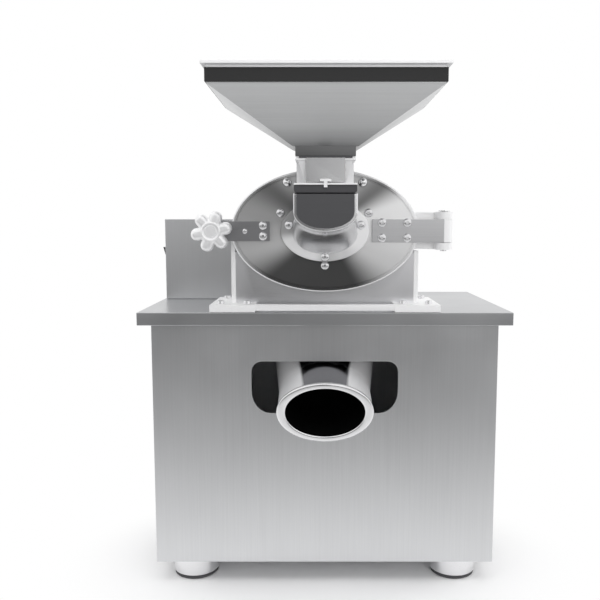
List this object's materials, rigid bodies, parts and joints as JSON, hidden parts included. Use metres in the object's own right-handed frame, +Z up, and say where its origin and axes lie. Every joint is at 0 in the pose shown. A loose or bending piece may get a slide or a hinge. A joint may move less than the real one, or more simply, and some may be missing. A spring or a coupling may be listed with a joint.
{
  "type": "food grinding machine",
  "caption": "Table-top hammer mill on a steel cabinet: square hopper, hinged grinding door with star-knob latch, belt drive and front discharge spout.",
  "frame": {"origin": "centre of the machine's bounding box at floor level, under the rubber feet", "axes": "+Z up, -Y towards the operator, +X to the operator's right, where the door hinge is"},
  "size_m": [0.524, 0.4202, 0.7101],
  "materials": {
    "satin_steel": "satin stainless sheet, fine vertical grain",
    "polished_steel": "polished stainless, soft reflections",
    "cast_steel": "ground cast stainless",
    "chrome": "mirror chrome",
    "dark_plate": "dark brushed plate",
    "black_rubber": "matt black rubber",
    "black_plastic": "glossy black moulding",
    "motor_paint": "hammered machine enamel",
    "machined_steel": "machined steel with tool marks"
  },
  "bodies": {
    "frame": {"foot_front_left": "chrome", "foot_pad_front_left": "black_rubber", "foot_front_right": "chrome", "foot_pad_front_right": "black_rubber", "foot_rear_left": "chrome", "foot_pad_rear_left": "black_rubber", "foot_rear_right": "chrome", "foot_pad_rear_right": "black_rubber", "cabinet_shell": "satin_steel", "cabinet_floor": "satin_steel", "rear_panel": "satin_steel", "table_top": "satin_steel", "belt_guard": "satin_steel", "control_box": "satin_steel", "control_box_cover": "satin_steel", "chamber_stand": "polished_steel", "discharge_chute": "polished_steel", "spout_rim": "polished_steel", "sieve_ring": "polished_steel", "drum": "cast_steel", "bearing_housing": "cast_steel", "latch_lug": "cast_steel", "hinge_bracket": "cast_steel", "v_belt_front": "black_rubber", "v_belt_rear": "black_rubber", "switch_bezel": "black_plastic", "cable_gland": "black_plastic", "motor_frame": "motor_paint", "motor_end_cover": "motor_paint", "motor_fan_cover": "motor_paint", "terminal_box": "motor_paint", "bearing_front": "machined_steel", "bearing_rear": "machined_steel", "hinge_pin": "machined_steel"},
    "door": {"door": "polished_steel", "stator_disc": "machined_steel", "inlet_flange": "polished_steel", "inlet_chute": "polished_steel", "inlet_front_plate": "dark_plate", "inlet_gasket": "black_rubber", "neck": "satin_steel", "hopper": "satin_steel", "hopper_band": "black_rubber", "latch_plate": "dark_plate", "hinge_strap": "dark_plate"},
    "gate": {"feed_gate": "polished_steel"},
    "knob": {"star_knob": "chrome"},
    "spindle": {"spindle": "machined_steel", "hammer_rotor": "machined_steel", "rotor_nut": "machined_steel", "spindle_pulley": "machined_steel"},
    "motor_rotor": {"motor_shaft": "machined_steel", "motor_pulley": "machined_steel", "cooling_fan": "black_plastic"},
    "rocker": {"switch_rocker": "black_plastic"}
  },
  "joints": [
    {"name": "door_swing", "type": "hinge", "parent": "frame", "child": "door", "pos_m": [0.16698, -0.0699, 0.5115], "axis": [0, 0, 1], "range_deg": [0, 120]},
    {"name": "gate_slide", "type": "slide", "parent": "door", "child": "gate", "axis": [0, -1, 0], "range_m": [0, 0.055]},
    {"name": "knob_turn", "type": "hinge", "parent": "door", "child": "knob", "pos_m": [-0.15102, -0.0812, 0.511], "axis": [0, 1, 0], "continuous": true},
    {"name": "motor_spin", "type": "hinge", "parent": "frame", "child": "motor_rotor", "pos_m": [0.00198, 0.1449, 0.1143], "axis": [0, 1, 0], "continuous": true},
    {"name": "spindle_spin", "type": "hinge", "parent": "frame", "child": "spindle", "pos_m": [0.00198, 0.0196, 0.5115], "axis": [0, 1, 0], "continuous": true},
    {"name": "switch_rock", "type": "hinge", "parent": "frame", "child": "rocker", "pos_m": [-0.25202, 0.1181, 0.468], "axis": [0, 1, 0], "range_deg": [0, 14]}
  ],
  "couplings": [
    {"joint": "spindle_spin", "follows": "motor_spin", "ratio": 1.6}
  ]
}
